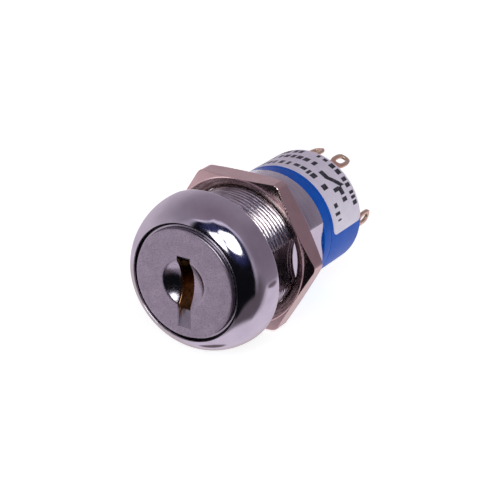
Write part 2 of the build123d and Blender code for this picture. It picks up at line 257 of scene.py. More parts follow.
def combine(obj, tool, operation, sharp=35):
    """Boolean of obj with tool; the tool is removed."""
    outward(obj)
    outward(tool)
    change = obj.modifiers.new("combine", "BOOLEAN")
    change.operation = operation
    change.solver = "MANIFOLD"
    change.object = tool
    bpy.context.view_layer.update()
    evaluated = obj.evaluated_get(bpy.context.evaluated_depsgraph_get())
    mesh = bpy.data.meshes.new_from_object(evaluated)
    old = obj.data
    obj.modifiers.clear()
    obj.data = mesh
    bpy.data.meshes.remove(old)
    bpy.data.objects.remove(tool)
    smooth_by_angle(mesh, sharp)
    return obj


# ============================================================================================
# materials
# ============================================================================================
MIX_A, MIX_B, MIX_RESULT = 6, 7, 2  # colour sockets of the Mix node


class Graph:
    """Short names for the nodes of a material or of the world."""

    def __init__(self, tree):
        self.tree = tree

    def add(self, kind):
        return self.tree.nodes.new(kind)

    def link(self, out, into):
        self.tree.links.new(out, into)

    def feed(self, socket, value):
        """Gives a socket a number, a colour or the output of another node."""
        if isinstance(value, tuple):
            socket.default_value = (*value, 1.0)
        elif isinstance(value, (int, float)):
            socket.default_value = value
        else:
            self.link(value, socket)

    def math(self, operation, *values):
        node = self.add("ShaderNodeMath")
        node.operation = operation
        for socket, value in zip(node.inputs, values):
            self.feed(socket, value)
        return node.outputs["Value"]

    def spread(self, value, low, high, to_low=0.0, to_high=1.0, kind="LINEAR"):
        """Value taken from the range low..high to the range to_low..to_high, and held there."""
        node = self.add("ShaderNodeMapRange")
        node.interpolation_type = kind
        self.link(value, node.inputs["Value"])
        ends = {"From Min": low, "From Max": high, "To Min": to_low, "To Max": to_high}
        for key, number in ends.items():
            node.inputs[key].default_value = number
        return node.outputs["Result"]

    def mix(self, factor, a, b):
        """Colour a where factor is 0, b where it is 1."""
        node = self.add("ShaderNodeMix")
        node.data_type = "RGBA"
        self.link(factor, node.inputs["Factor"])
        self.feed(node.inputs[MIX_A], a)
        self.feed(node.inputs[MIX_B], b)
        return node.outputs[MIX_RESULT]


class Nodes(Graph):
    """Nodes of one new material, with coordinates in millimetres."""

    def __init__(self, name):
        self.material = bpy.data.materials.new(name)
        self.material.use_nodes = True
        super().__init__(self.material.node_tree)
        self.shader = self.tree.nodes["Principled BSDF"]
        self.coords = self.add("ShaderNodeTexCoord").outputs["Object"]

    def mapping(self, scale):
        """Object coordinates times scale features per millimetre."""
        node = self.add("ShaderNodeMapping")
        factors = (scale,) * 3 if isinstance(scale, (int, float)) else scale
        node.inputs["Scale"].default_value = [f / MM for f in factors]
        self.link(self.coords, node.inputs["Vector"])
        return node.outputs["Vector"]

    def noise(self, scale, detail=4.0):
        node = self.add("ShaderNodeTexNoise")
        node.inputs["Scale"].default_value = 1.0
        node.inputs["Detail"].default_value = detail
        node.inputs["Roughness"].default_value = 0.55
        self.link(self.mapping(scale), node.inputs["Vector"])
        return node.outputs["Fac"]

    def axis_parts(self):
        """The x, y and z of a place in millimetres."""
        node = self.add("ShaderNodeSeparateXYZ")
        self.link(self.mapping(1.0), node.inputs["Vector"])
        return node.outputs["X"], node.outputs["Y"], node.outputs["Z"]

    def radius(self):
        """Distance from the axis in millimetres."""
        x, _, z = self.axis_parts()
        squares = self.math("MULTIPLY", x, x), self.math("MULTIPLY", z, z)
        return self.math("SQRT", self.math("ADD", *squares))

    def colour(self, out):
        self.link(out, self.shader.inputs["Base Color"])

    def rough(self, out):
        self.link(out, self.shader.inputs["Roughness"])

    def bump(self, height, depth):
        """Bump of a height 0..1 that is depth millimetres deep; calls add up."""
        node = self.add("ShaderNodeBump")
        node.inputs["Distance"].default_value = depth * MM
        self.link(height, node.inputs["Height"])
        old = self.shader.inputs["Normal"]
        if old.is_linked:
            self.link(old.links[0].from_socket, node.inputs["Normal"])
        self.link(node.outputs["Normal"], old)

    def set(self, **values):
        """Values of the shader's own sockets, with _ for the spaces in their names."""
        for key, value in values.items():
            self.shader.inputs[key.replace("_", " ")].default_value = value


def chrome_material():
    """Bright chrome over a cast body: soft blotches, faint orange peel, tiny pits."""
    n = Nodes("chrome_plate")
    n.set(Metallic=1.0)
    blotch = n.noise(0.35, 3.0)
    n.colour(n.mix(n.spread(blotch, 0.35, 0.7), (0.82, 0.79, 0.84), (0.73, 0.70, 0.76)))
    n.rough(n.spread(n.noise(1.1, 5.0), 0.35, 0.75, 0.07, 0.14))
    n.bump(n.noise(0.45, 2.0), 0.006)
    n.bump(n.noise(9.0, 3.0), 0.0007)
    return n.material


def thread_material():
    """The same plate on the bushing, torn along the thread by the die."""
    n = Nodes("chrome_bushing")
    n.set(Metallic=1.0)
    streak = n.noise((0.30, 6.0, 0.30), 4.0)
    n.colour(n.mix(n.spread(streak, 0.42, 0.64), (0.92, 0.89, 0.92), (0.36, 0.33, 0.35)))
    n.rough(n.spread(n.noise(3.0, 5.0), 0.35, 0.75, 0.10, 0.24))
    n.bump(n.noise((0.30, 5.5, 0.30), 4.0), 0.060)
    n.bump(n.noise((1.2, 3.2, 1.2), 4.0), 0.030)
    return n.material


def barrel_material():
    """Plain barrel behind the thread, brushed round."""
    n = Nodes("chrome_barrel")
    n.set(Metallic=1.0)
    band = n.noise((0.4, 5.0, 0.4), 4.0)
    n.colour(n.mix(n.spread(band, 0.35, 0.7), (0.76, 0.73, 0.77), (0.60, 0.57, 0.61)))
    n.rough(n.spread(n.noise(2.0, 4.0), 0.35, 0.75, 0.20, 0.34))
    n.bump(n.noise((0.4, 9.0, 0.4), 2.0), 0.004)
    return n.material


def flat_material():
    """Planed flats of the bushing, plated mirror smooth with a few planing lines."""
    n = Nodes("chrome_flat")
    n.set(Metallic=1.0)
    n.colour(n.mix(n.spread(n.noise(0.5, 3.0), 0.35, 0.7), (0.82, 0.79, 0.84), (0.74, 0.71, 0.77)))
    n.rough(n.spread(n.noise(1.5, 4.0), 0.35, 0.75, 0.05, 0.12))
    n.bump(n.noise((0.3, 0.3, 6.0), 2.0), 0.0008)
    return n.material


def shaded_recess_material():
    """Bottom of the well round the face disc, painted near black as painted shade, with a random
    mottle of two dark tones.
    """
    n = Nodes("painted_shade_recess")
    n.set(Metallic=0.4)
    mottle = n.noise(1.5, 5.0)
    n.colour(n.mix(n.spread(mottle, 0.35, 0.75), (0.020, 0.018, 0.022), (0.070, 0.062, 0.070)))
    n.rough(n.spread(n.noise(4.0, 4.0), 0.3, 0.75, 0.35, 0.6))
    n.bump(n.noise(6.0, 3.0), 0.006)
    return n.material


def nickel_material():
    """Bright nickel with a warm cast and faint drawn lines along the bar it was cut from."""
    n = Nodes("nickel_plate")
    n.set(Metallic=1.0)
    blotch = n.noise(0.5, 4.0)
    n.colour(n.mix(n.spread(blotch, 0.3, 0.7), (0.90, 0.68, 0.63), (0.80, 0.60, 0.55)))
    n.rough(n.spread(n.noise((4.0, 0.5, 4.0), 3.0), 0.3, 0.75, 0.10, 0.20))
    n.bump(n.noise((3.0, 0.25, 3.0), 2.0), 0.0022)
    n.bump(n.noise(12.0, 2.0), 0.0004)
    return n.material


def turned_nickel_shaded_material():
    """The nut's turned dish and thread, duller than its facets, with fine turning rings, and
    painted darker than the facets as painted shade in the dish and bore.
    """
    n = Nodes("turned_nickel_painted_shade")
    n.set(Metallic=1.0)
    # Painted shade: a base colour well under that of the facets.
    n.colour(n.mix(n.spread(n.noise(0.7, 4.0), 0.35, 0.7), (0.58, 0.47, 0.44), (0.44, 0.35, 0.33)))
    n.rough(n.spread(n.noise(2.0, 3.0), 0.3, 0.75, 0.18, 0.3))
    n.bump(n.noise((0.4, 9.0, 0.4), 2.0), 0.003)
    return n.material


def satin_material():
    """Blasted stainless sheet: even grey with a fine speckle, smoother in the pressed dish."""
    n = Nodes("satin_steel")
    n.set(Metallic=1.0)
    speckle = n.noise(8.0, 3.0)
    cloud = n.noise(0.6, 3.0)
    base = n.mix(n.spread(cloud, 0.35, 0.7), (0.64, 0.59, 0.655), (0.53, 0.49, 0.55))
    n.colour(n.mix(n.spread(speckle, 0.45, 0.68), base, (0.36, 0.33, 0.38)))
    outside_dish = n.spread(n.radius(), DISH_R - 0.15, DISH_R + 0.1)
    grain = n.spread(n.noise(5.0, 4.0), 0.3, 0.75, 0.0, 0.12)
    n.rough(n.math("ADD", n.spread(outside_dish, 0.0, 1.0, 0.12, 0.28), grain))
    n.bump(n.noise(16.0, 2.0), 0.004)
    return n.material


def plug_material():
    """Brass plug: browned in the keyway and painted darker towards the top of the keyway as
    painted shade; the flange behind the disc painted near black as painted shade in the gaps round
    it but for a thin plated ring; a faint painted glow low in the keyway that stands in for light."""
    n = Nodes("plug_brass")
    n.set(Metallic=1.0)
    stain = n.noise(1.2, 5.0)
    bare = n.mix(n.spread(stain, 0.35, 0.65), (0.90, 0.52, 0.26), (0.34, 0.16, 0.08))
    _, _, z = n.axis_parts()
    # Painted shade: the brass goes near black towards the top of the keyway.
    brass = n.mix(n.spread(z, -1.5, 0.5), bare, (0.09, 0.055, 0.04))
    radius = n.radius()
    rim = n.math("MULTIPLY", n.spread(radius, 8.08, 8.14), n.spread(radius, 8.34, 8.38, 1.0, 0.0))
    # Painted shade: the flange near black in the gaps inside and outside a thin plated ring.
    plated = n.mix(rim, (0.045, 0.040, 0.047), (0.62, 0.59, 0.64))
    n.colour(n.mix(n.spread(radius, 7.0, 7.2), brass, plated))
    # Painted light: a faint emission of the brass colour low in the keyway, where little light
    # reaches.
    glow = n.math("MULTIPLY", n.spread(z, -0.5, -3.5), n.spread(radius, 6.5, 7.0, 0.022, 0.0))
    n.link(bare, n.shader.inputs["Emission Color"])
    n.link(glow, n.shader.inputs["Emission Strength"])
    n.rough(n.spread(n.noise(4.0, 4.0), 0.3, 0.75, 0.16, 0.36))
    n.bump(n.noise((2.0, 12.0, 2.0), 2.0), 0.004)
    return n.material


def turned_brass(name, light, dark, fill=0.0, roughness=(0.14, 0.3)):
    """Turned brass or copper alloy with faint rings and stains; fill is a faint emission that
    lifts it in the dark."""
    n = Nodes(name)
    n.set(Metallic=1.0)
    n.colour(n.mix(n.spread(n.noise(1.5, 4.0), 0.35, 0.7), light, dark))
    n.rough(n.spread(n.noise(5.0, 4.0), 0.3, 0.75, *roughness))
    n.bump(n.noise((3.0, 3.0, 14.0), 2.0), 0.003)
    n.set(Emission_Color=(*light, 1.0), Emission_Strength=fill)
    return n.material


def spring_material():
    """Spring steel with slight stains."""
    n = Nodes("spring_steel")
    n.set(Metallic=1.0)
    n.colour(n.mix(n.spread(n.noise(2.0, 4.0), 0.35, 0.7), (0.60, 0.60, 0.63), (0.44, 0.44, 0.47)))
    n.rough(n.spread(n.noise(6.0, 3.0), 0.3, 0.7, 0.22, 0.4))
    n.bump(n.noise(10.0, 2.0), 0.002)
    return n.material


def terminal_material(pale_from, pale_to):
    """Copper alloy tags that turn paler from pale_from to pale_to, both a y."""
    n = Nodes("terminal_plate")
    n.set(Metallic=1.0)
    stain = n.noise(1.6, 4.0)
    copper = n.mix(n.spread(stain, 0.35, 0.7), (1.0, 0.63, 0.44), (0.95, 0.52, 0.32))
    _, y, _ = n.axis_parts()
    wander = n.math("ADD", y, n.math("MULTIPLY", n.noise(1.2, 3.0), 1.2))
    paler = n.spread(wander, pale_from, pale_to, kind="SMOOTHSTEP")
    n.colour(n.mix(paler, copper, (1.0, 0.77, 0.56)))
    n.rough(n.spread(n.noise(4.0, 4.0), 0.3, 0.75, 0.28, 0.45))
    n.bump(n.noise(6.0, 3.0), 0.004)
    return n.material


def plastic_material(name, light, dark, roughness, grain_depth, coat=0.0, shine=0.5):
    """Moulded plastic: slight cloudiness, sink and a fine moulded grain."""
    n = Nodes(name)
    n.set(IOR=1.5, Specular_IOR_Level=shine, Coat_Weight=coat, Coat_Roughness=0.2)
    n.colour(n.mix(n.spread(n.noise(0.5, 4.0), 0.35, 0.7), light, dark))
    n.rough(n.spread(n.noise(3.0, 4.0), 0.3, 0.75, *roughness))
    n.bump(n.noise(0.25, 1.0), grain_depth * 3)
    n.bump(n.noise(10.0, 3.0), grain_depth)
    return n.material


def label_material():
    """Printed film: off-white with faint fibres and a soft sheen."""
    n = Nodes("label_film")
    n.set(IOR=1.46, Sheen_Weight=0.05)
    n.colour(n.mix(n.spread(n.noise(0.8, 5.0), 0.35, 0.7), (0.82, 0.78, 0.86), (0.76, 0.72, 0.81)))
    n.rough(n.spread(n.noise(3.0, 4.0), 0.3, 0.75, 0.36, 0.5))
    n.bump(n.noise((1.0, 9.0, 1.0), 3.0), 0.003)
    return n.material


def ink_material():
    """Worn black print."""
    n = Nodes("label_ink")
    wear = n.noise(2.5, 5.0)
    n.colour(n.mix(n.spread(wear, 0.45, 0.75), (0.018, 0.017, 0.024), (0.085, 0.08, 0.10)))
    n.rough(n.spread(n.noise(3.0, 3.0), 0.3, 0.75, 0.4, 0.55))
    n.bump(n.noise(8.0, 2.0), 0.002)
    return n.material


CHROME = chrome_material()
BUSHING = thread_material()
BARREL = barrel_material()
FLAT = flat_material()
# Near-black painted shade for the deep part of the well round the face disc.
SHADED_RECESS = shaded_recess_material()
NICKEL = nickel_material()
TURNED_NICKEL_SHADED = turned_nickel_shaded_material()
SATIN = satin_material()
PLUG = plug_material()
PIN = turned_brass("pin_brass", (0.90, 0.66, 0.30), (0.72, 0.46, 0.17), fill=0.10)
BRASS = turned_brass("brass", (0.80, 0.55, 0.24), (0.62, 0.38, 0.14))
CONTACT = turned_brass("contact_copper", (0.88, 0.62, 0.44), (0.72, 0.44, 0.28))
SPRING = spring_material()
BLUE = plastic_material("blue_plastic", (0.001, 0.106, 0.53), (0.001, 0.086, 0.46),
                        roughness=(0.30, 0.42), grain_depth=0.003, shine=0.22)
BLACK = plastic_material("black_plastic", (0.022, 0.022, 0.025), (0.014, 0.014, 0.016),
                         roughness=(0.42, 0.6), grain_depth=0.005)
EPOXY = plastic_material("epoxy", (0.030, 0.030, 0.036), (0.018, 0.018, 0.022),
                         roughness=(0.12, 0.24), grain_depth=0.002, coat=0.3)
LABEL = label_material()
INK = ink_material()
TERMINAL = terminal_material(CASE_HIGH.y + 2.6, CASE_HIGH.y + 4.6)


# ============================================================================================
# lock housing
# ============================================================================================
def thread_cut(angle, y):
    """How deep the right-hand thread is cut at a place on the bushing."""
    phase = (y / THREAD_PITCH - angle / TAU) % 1.0
    flank = min(1.0, max(0.0, (abs(phase - 0.5) * 2 - 0.10) / 0.55))
    fade = min(1.0, (y - THREAD_START) / 0.8 + 0.2, (THREAD_END - y) / 1.0 + 0.1)
    return THREAD_DEPTH * (1 - flank) * max(0.0, fade)


def housing_section(angle):
    """One slice of head and bushing: bore, well, dome, threaded neck, rear pockets."""
    dome_r = HEAD_HIGH.x - DOME_CENTRE_R
    lip = math.acos((WELL_R + 0.10 - DOME_CENTRE_R) / dome_r)
    path = [(BORE_R, BORE_END), (BORE_R, WELL_FLOOR), (WELL_R, WELL_FLOOR),
            (WELL_R, RECESS_LIP), (WELL_R, HEAD_LOW.y + 0.16)]
    path += [(WELL_R + 0.03, HEAD_LOW.y + 0.07), (WELL_R + 0.07, HEAD_LOW.y + 0.02)]
    for k in range(DOME_STEPS + 1):
        t = lip + (DOME_RISE - lip) * k / DOME_STEPS
        path.append((DOME_CENTRE_R + dome_r * math.cos(t), -DOME_HEIGHT * math.sin(t)))
    path += [(HEAD_HIGH.x - 0.02, -0.2), (HEAD_HIGH.x - 0.09, -0.05),
             (HEAD_HIGH.x - RIM_ROUND, 0.0)]
    clamp = FLAT_X / max(abs(math.sin(angle)), 1e-6)  # the flats cut the neck here
    undercut = min(THREAD_R - 0.30, clamp)
    neck = [(undercut, 0.0), (undercut, THREAD_START - 0.25)]
    rows = int((THREAD_END - THREAD_START) / THREAD_PITCH * THREAD_ROWS)
    for k in range(rows + 1):
        y = THREAD_START + (THREAD_END - THREAD_START) * k / rows
        neck.append((min(THREAD_R - thread_cut(angle, y), clamp), y))
    end = HEAD_HIGH.y
    neck += [(min(BARREL_R + 0.1, clamp), THREAD_END + 0.1),
             (min(BARREL_R, clamp), THREAD_END + 0.25), (min(BARREL_R, clamp), end - 0.3),
             (min(BARREL_R - 0.07, clamp - 0.04), end - 0.09),
             (min(BARREL_R - 0.22, clamp - 0.16), end)]
    pocket = [(BOSS_POCKET_R, end), (BOSS_POCKET_R, STOP_POCKET_END),
              (STOP_POCKET_R, STOP_POCKET_END), (STOP_POCKET_R, BORE_END)]
    return path + neck + pocket


def lock_housing():
    """Head and bushing in one, with the pin chambers and the channel of their cover."""
    sharp = 28
    shell = ring("head_and_bushing", housing_section, sharp=sharp)
    for number in range(1, 5):
        low, high = node_box(f"driver_pin_{number}")
        chamber = upright_rod("chamber", (high.x - low.x) / 2 + CUT_GAP, (low.y + high.y) / 2,
                              CHAMBER_LOW, CHAMBER_TOP)
        combine(shell, chamber, "DIFFERENCE", sharp)
    low, high = node_box("spring_cover")
    channel = box_mesh("channel", (low.x - CUT_GAP, low.y - CUT_GAP, low.z - CUT_GAP),
                       (high.x + CUT_GAP, HEAD_HIGH.y + 1.0, high.z + 0.02))
    combine(shell, channel, "DIFFERENCE", sharp)
    finish_piece(shell, "housing", "chrome_plate", CHROME, "lock_housing")
    bushing, flat, shaded_recess, barrel = 1, 2, 3, 4
    for material in (BUSHING, FLAT, SHADED_RECESS, BARREL):
        shell.data.materials.append(material)
    radius, y, x, normal_x = face_places(shell)
    index = np.zeros(len(x), dtype=np.int32)
    behind, outside = y > 0.02, radius > BOSS_POCKET_R + 0.1
    barrel_start = THREAD_END + 0.2
    index[behind & outside & (y < barrel_start)] = bushing
    index[outside & (y >= barrel_start)] = barrel
    index[behind & (np.abs(np.abs(x) - FLAT_X) < 0.02) & (np.abs(normal_x) > 0.99)] = flat
    # Painted shade: the deep wall and floor of the well get the near-black material.
    index[(y > RECESS_LIP) & (y < WELL_FLOOR + 0.05) & (radius < WELL_R + 0.02)] = shaded_recess
    shell.data.polygons.foreach_set("material_index", index)
    return shell


# ============================================================================================
# nut
# ============================================================================================
def hex_radius(angle, flat_half, corner_round=0.35):
    """Distance from the axis to a hexagon with flats up and down and eased corners."""
    off = (angle + TAU / 12) % (TAU / 6) - TAU / 12
    sharp = flat_half / math.cos(off)
    limit = flat_half / math.cos(TAU / 12) - corner_round
    over = max(0.0, sharp - limit)
    return sharp if over == 0 else limit + over * corner_round / (corner_round + over * 1.3)


def nut_section(angle):
    """One slice of the nut: dish, front, chamfered side, back, threaded bore."""
    front, back = NUT_LOW.y, NUT_HIGH.y
    flat_half = NUT_HIGH.z
    corner = flat_half / math.cos(TAU / 12)
    body = hex_radius(angle, flat_half)
    edge_r = flat_half + 0.02
    slope = (corner - edge_r) / NUT_CHAMFER
    band = NUT_CHAMFER * 1.1  # depth of the close rows that follow the chamfer
    rows, face_rows = 15, 5

    def outer(y):
        cone = edge_r + slope * min(y - front, back - y)
        return min(body, cone)

    path = [(NUT_BORE_R + 0.35, front + NUT_DISH_DEPTH)]
    path += [(NUT_DISH_R - 0.05, front + 0.03), (NUT_DISH_R, front)]
    front_r = outer(front) - 0.03
    for k in range(face_rows):
        path.append((NUT_DISH_R + (front_r - NUT_DISH_R) * (k + 1) / face_rows, front))
    for k in range(rows):
        y = front + band * (k + 0.3) / rows
        path.append((outer(y), y))
    for k in range(rows):
        y = back - band * (rows - 0.7 - k) / rows
        path.append((outer(y), y))
    back_r = outer(back) - 0.03
    for k in range(face_rows):
        path.append((back_r - (back_r - NUT_BORE_R - 0.5) * k / (face_rows - 1), back))
    for k in range(NUT_THREAD_ROWS + 1):
        y = back - 0.35 - (back - front - NUT_DISH_DEPTH - 0.55) * k / NUT_THREAD_ROWS
        phase = (y / THREAD_PITCH - angle / TAU + 0.5) % 1.0
        crest = min(1.0, max(0.0, (abs(phase - 0.5) * 2 - 0.14) / 0.68))
        path.append((NUT_BORE_R + NUT_THREAD_DEPTH * (1 - crest), y))
    return path


def hex_nut():
    """Nut with a hexagon outside and a turned dish and thread inside."""
    nut = ring("panel_nut", nut_section, steps=NUT_STEPS, sharp=24)
    outward(nut)
    finish_piece(nut, "nut", "nickel_plate", NICKEL, "hex_nut")
    nut.data.materials.append(TURNED_NICKEL_SHADED)
    radius, y, _, _ = face_places(nut)
    # The dish and bore get the darker turned nickel, which paints their shade.
    shaded_turned_part = (radius < NUT_DISH_R - 0.02) & (y < NUT_HIGH.y - 0.1)
    nut.data.polygons.foreach_set("material_index", shaded_turned_part.astype(np.int32))
    return nut


# ============================================================================================
# face cap
# ============================================================================================
SLOT_X = 1.1
SLOT_TOP, SLOT_BOTTOM = 4.0, -6.6
KEYWAY_TOP, KEYWAY_BOTTOM = 3.0, -4.45
CAP_T = 0.4
EDGE_R = 0.16
SKIRT_BACK, SKIRT_T = -5.42, 0.35
LEDGE_Y = -5.05
TAB_T = 0.3
DISH_STEPS, FACE_STEPS, EDGE_STEPS = 30, 12, 6
CAP_SHARP = 40


def dish_path(offset):
    """Arc of the dish from its rim to the axis, pushed back by offset."""
    ball_r = (DISH_R ** 2 + DISH_DEPTH ** 2) / (2 * DISH_DEPTH)
    centre = CAP_LOW.y + DISH_DEPTH - ball_r
    radius = ball_r + offset
    rim = math.asin(DISH_R / ball_r)
    angles = [rim * (1 - k / DISH_STEPS) for k in range(DISH_STEPS + 1)]
    return [(radius * math.sin(a), centre + radius * math.cos(a)) for a in angles]


def face_cap():
    """Pressed disc with a dish, a rounded edge and a skirt, slotted, with a tab that slopes in
    to the keyway at each end of the slot."""
    front, r = CAP_LOW.y, CAP_HIGH.x
    outer = dish_path(0.0)[::-1]
    outer[-1] = (outer[-1][0] + 0.05, front + 0.012)
    flat_r = DISH_R + 0.14
    outer += [(flat_r, front)]
    outer += [(flat_r + (r - 0.3 - DISH_R) * k / FACE_STEPS, front) for k in range(1, FACE_STEPS)]
    turns = [math.pi / 2 * k / EDGE_STEPS for k in range(EDGE_STEPS + 1)]
    edge = [(r - EDGE_R + EDGE_R * math.sin(a), front + EDGE_R - EDGE_R * math.cos(a))
            for a in turns]
    skirt = [(r, SKIRT_BACK - 0.04), (r - 0.04, SKIRT_BACK), (r - SKIRT_T, SKIRT_BACK),
             (r - SKIRT_T, front + CAP_T)]
    inner = [(DISH_R + 0.3, front + CAP_T)] + dish_path(CAP_T)
    cap = turned("face_disc", outer + edge + skirt + inner, sharp=CAP_SHARP)
    slot = box_mesh("slot", (-SLOT_X, front - 1, SLOT_BOTTOM), (SLOT_X, 0, SLOT_TOP))
    combine(cap, slot, "DIFFERENCE", CAP_SHARP)
    for z_slot, z_key in ((SLOT_TOP, KEYWAY_TOP), (SLOT_BOTTOM, KEYWAY_BOTTOM)):
        reach = math.copysign(0.15, z_slot)
        side = [(front + 0.1, z_slot + reach), (front + 0.1, z_slot), (LEDGE_Y, z_key),
                (LEDGE_Y + TAB_T, z_key), (front + CAP_T + TAB_T, z_slot + reach)]
        combine(cap, prism_x("tab", side, SLOT_X + 0.1), "UNION", CAP_SHARP)
    return finish_piece(cap, "plug", "satin_steel", SATIN, "face_cap")


# ============================================================================================
# blue case, label print, rear seal, terminals
# ============================================================================================
def case_cover():
    """Short blue band with a boss that goes into the bushing."""
    r, front, back = COVER_HIGH.x, COVER_LOW.y, COVER_HIGH.y
    seat = HEAD_HIGH.y + 0.02
    corners = [(TAIL_HOLE_R, back, 0), (TAIL_HOLE_R, front, 0.1), (BOSS_R, front, 0.2),
               (BOSS_R, seat, 0), (r, seat, 0.12), (r, back, 0.14)]
    path = rounded(corners)
    cover = ring("case_band", lambda angle: path, steps=CASE_STEPS)
    outward(cover)
    return finish_piece(cover, "housing", "blue_plastic", BLUE, "case_cover")


def switch_case():
    """Blue cup, open at the rear, with a shelf for the terminal base."""
    r, front, back = CASE_HIGH.x, CASE_LOW.y, CASE_HIGH.y
    corners = [(CASE_SHELF_R, CASE_SHELF_Y, 0), (CASE_SHELF_R, front, 0), (r, front, 0.14),
               (r, back, 0.25), (CASE_BORE_R, back, 0.12), (CASE_BORE_R, CASE_SHELF_Y, 0)]
    path = rounded(corners)
    case = ring("case_cup", lambda angle: path, steps=CASE_STEPS)
    outward(case)
    return finish_piece(case, "housing", "blue_plastic", BLUE, "switch_case")


def curved_bar(points, faces, start, end, height, r_low, r_high):
    """Adds a thin stroke that follows the label from start to end, both (degrees, y in
    millimetres of the stroke's front edge); a slanted stroke has different ys."""
    (a0, y0), (a1, y1) = start, end
    steps = max(2, int(abs(a1 - a0) / 2))  # one for every 2 degrees
    first = len(points)
    for k in range(steps + 1):
        a = math.radians(a0 + (a1 - a0) * k / steps)
        y = y0 + (y1 - y0) * k / steps
        for radius in (r_low, r_high):
            for edge in (y, y + height):
                points.append((radius * math.sin(a), edge, radius * math.cos(a)))
    for k in range(steps):
        a, b = first + 4 * k, first + 4 * (k + 1)
        faces += [(a, a + 1, b + 1, b), (a + 2, b + 2, b + 3, a + 3),
                  (a, b, b + 2, a + 2), (a + 1, a + 3, b + 3, b + 1)]
    last = first + 4 * steps
    faces += [(first, first + 2, first + 3, first + 1), (last, last + 1, last + 3, last + 2)]


# Rows of print: y of the row, height of its bars, spans of degrees that it covers.
PRINT_ROWS = [(20.5, 1.25, [(-58, 34), (41, 47), (62, 79)]), (23.4, 1.2, [(-52, 24), (61, 67)]),
              (25.7, 1.1, [(-60, 2), (12, 73)])]
# Strokes of the contact sign: start and end as (degrees, y), height.
CONTACT_SIGN = [((28.5, 22.6), (37.0, 22.6), 1.0), ((36.4, 22.5), (51.0, 24.5), 1.0),
                ((50.5, 23.6), (58.5, 23.6), 1.0), ((49.5, 22.5), (53.5, 22.5), 1.5)]
BAR_WIDTHS, BAR_TRIMS, BAR_GAPS = (3.0, 4.2, 5.6), (0.0, 0.0, 0.35), (1.8, 2.2, 4.0)
BAR_LEAST = 1.5


def label_print():
    """Generic print: rows of plain bars and the sign for a switch contact."""
    draw = random.Random(7)
    low, high = LABEL_HIGH.x - 0.03, LABEL_HIGH.x + 0.012
    points, faces = [], []
    for y, height, spans in PRINT_ROWS:
        for start, end in spans:
            a = start
            while a < end:
                width = min(draw.choice(BAR_WIDTHS), end - a)
                if width > BAR_LEAST:
                    trim = draw.choice(BAR_TRIMS)
                    curved_bar(points, faces, (a, y + trim), (a + width, y + trim),
                               height - trim, low, high)
                a += width + draw.choice(BAR_GAPS)
    for start, end, height in CONTACT_SIGN:
        curved_bar(points, faces, start, end, height, low, high)
    bars = new_piece("label_print", points, faces)
    outward(bars)
    return finish_piece(bars, "housing", "label_film", INK)


def potting_seal():
    """Poured resin that climbs a little at the wall and round every terminal."""
    radius = SEAL_HIGH.x
    base, top = SEAL_LOW.y, SEAL_HIGH.y - 0.12
    tags = []
    for k in range(1, 7):
        low, high = node_box(f"terminal_{k}")
        tags.append(((low.x + high.x) / 2, (low.z + high.z) / 2))
    rings, steps = 44, 216
    points, faces = [(0, base, 0), (0, top, 0)], []

    def level(x, z):
        """Height of the resin, with its climb at the wall and at the tags."""
        y = top + 0.30 * math.exp(-(radius - math.hypot(x, z)) / 0.30)
        for tx, tz in tags:
            scale = TERMINAL_R / math.hypot(tx, tz)
            y += 0.32 * math.exp(-math.hypot(x - tx * scale, z - tz * scale) ** 2 / 1.3)
        return y + 0.03 * math.sin(1.3 * x + 0.7) * math.sin(1.1 * z)

    for j in range(1, rings + 1):
        r = radius * (j / rings) ** 0.85
        for i in range(steps):
            x, z = r * math.sin(TAU * i / steps), r * math.cos(TAU * i / steps)
            points.append((x, level(x, z), z))
    outer = 2 + (rings - 1) * steps
    under = len(points)
    angles = [TAU * i / steps for i in range(steps)]
    points += [(radius * math.sin(a), base, radius * math.cos(a)) for a in angles]
    for i in range(steps):
        n = (i + 1) % steps
        faces.append((1, 2 + i, 2 + n))
        for j in range(rings - 1):
            a = 2 + j * steps
            faces.append((a + i, a + steps + i, a + steps + n, a + n))
        faces.append((outer + i, under + i, under + n, outer + n))
        faces.append((0, under + n, under + i))
    seal = new_piece("poured_seal", points, faces, 60)
    outward(seal)
    return finish_piece(seal, "housing", "epoxy", EPOXY, "potting_seal")


def tag_outline():
    """Outlines of a tag's eye and its hole as (x, y) loops with equal counts."""
    count, squareness = 40, 0.72
    outer, hole = [], []
    for k in range(count):
        a = TAU * k / count
        across = math.copysign(abs(math.sin(a)) ** squareness, math.sin(a))
        along = math.copysign(abs(math.cos(a)) ** squareness, math.cos(a))
        outer.append((EYE_W / 2 * across, EYE_Y + EYE_L / 2 * along))
        hole.append((HOLE_W / 2 * across, EYE_Y + 0.1 + HOLE_L / 2 * along))
    return outer, hole


